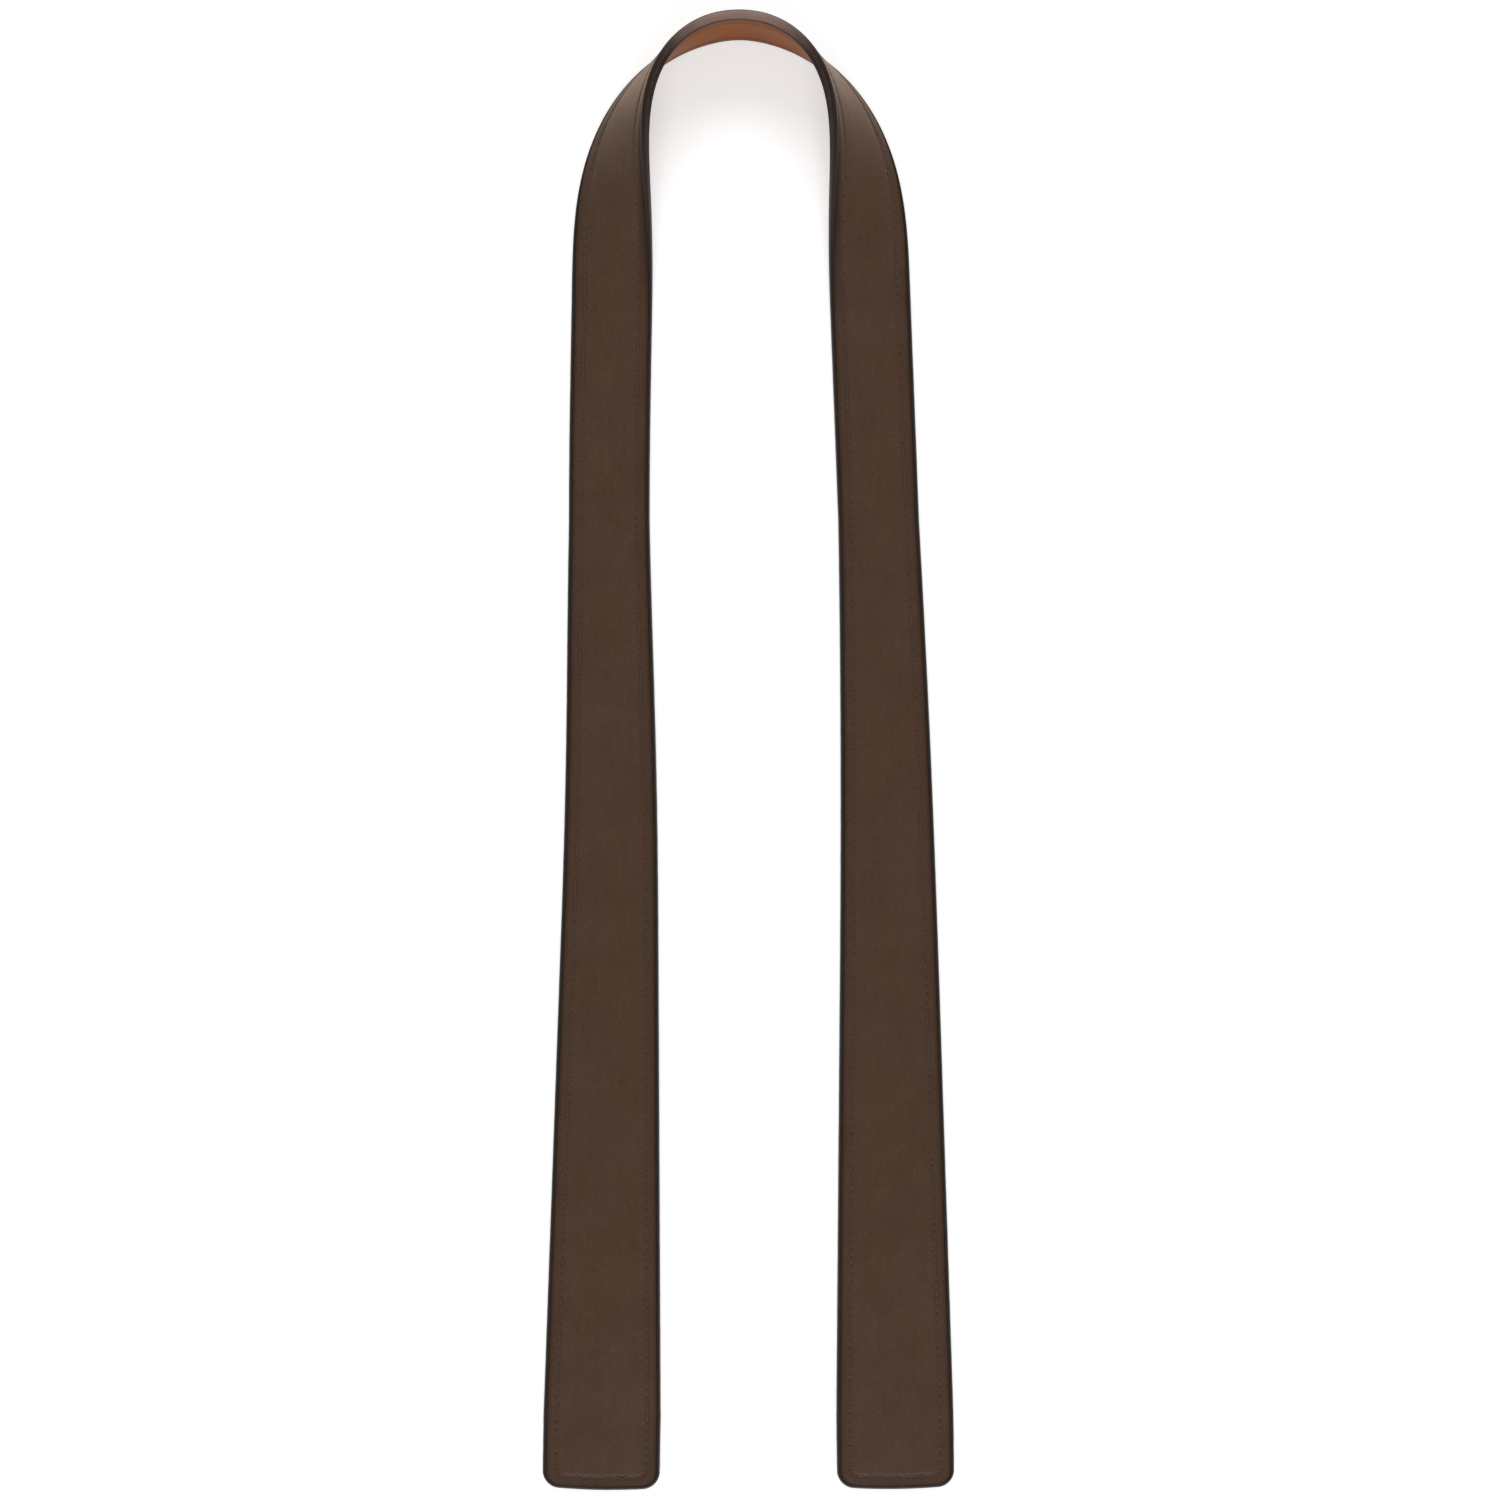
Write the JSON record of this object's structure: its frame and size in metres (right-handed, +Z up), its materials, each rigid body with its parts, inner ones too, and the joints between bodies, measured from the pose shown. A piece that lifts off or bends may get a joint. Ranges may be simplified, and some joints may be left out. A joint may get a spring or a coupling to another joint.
{
  "type": "guitar strap",
  "caption": "Long stitched leather instrument strap with wide tapered end tabs, laid doubled back in a U with its turn standing on edge.",
  "frame": {"origin": "middle of the laid strap's box, on the table it lies on", "axes": "+Z up from the table, +Y along the legs towards the turn, +X to the right seen from above with the turn at the top"},
  "size_m": [0.1754, 0.6224, 0.0346],
  "materials": {
    "outer_leather": "dark brown, smooth, satin",
    "core_board": "bonded leather board, matt",
    "lining_leather": "reddish tan, fine grain, satin",
    "edge_paint": "dark brown edge paint, semi-gloss",
    "thread": "waxed polyester thread, dark brown"
  },
  "bodies": {
    "root": {"outer_leather": "outer_leather", "core_board": "core_board", "lining_leather": "lining_leather", "edge_paint": "edge_paint", "needle_thread": "thread", "bobbin_thread": "thread"}
  },
  "joints": []
}
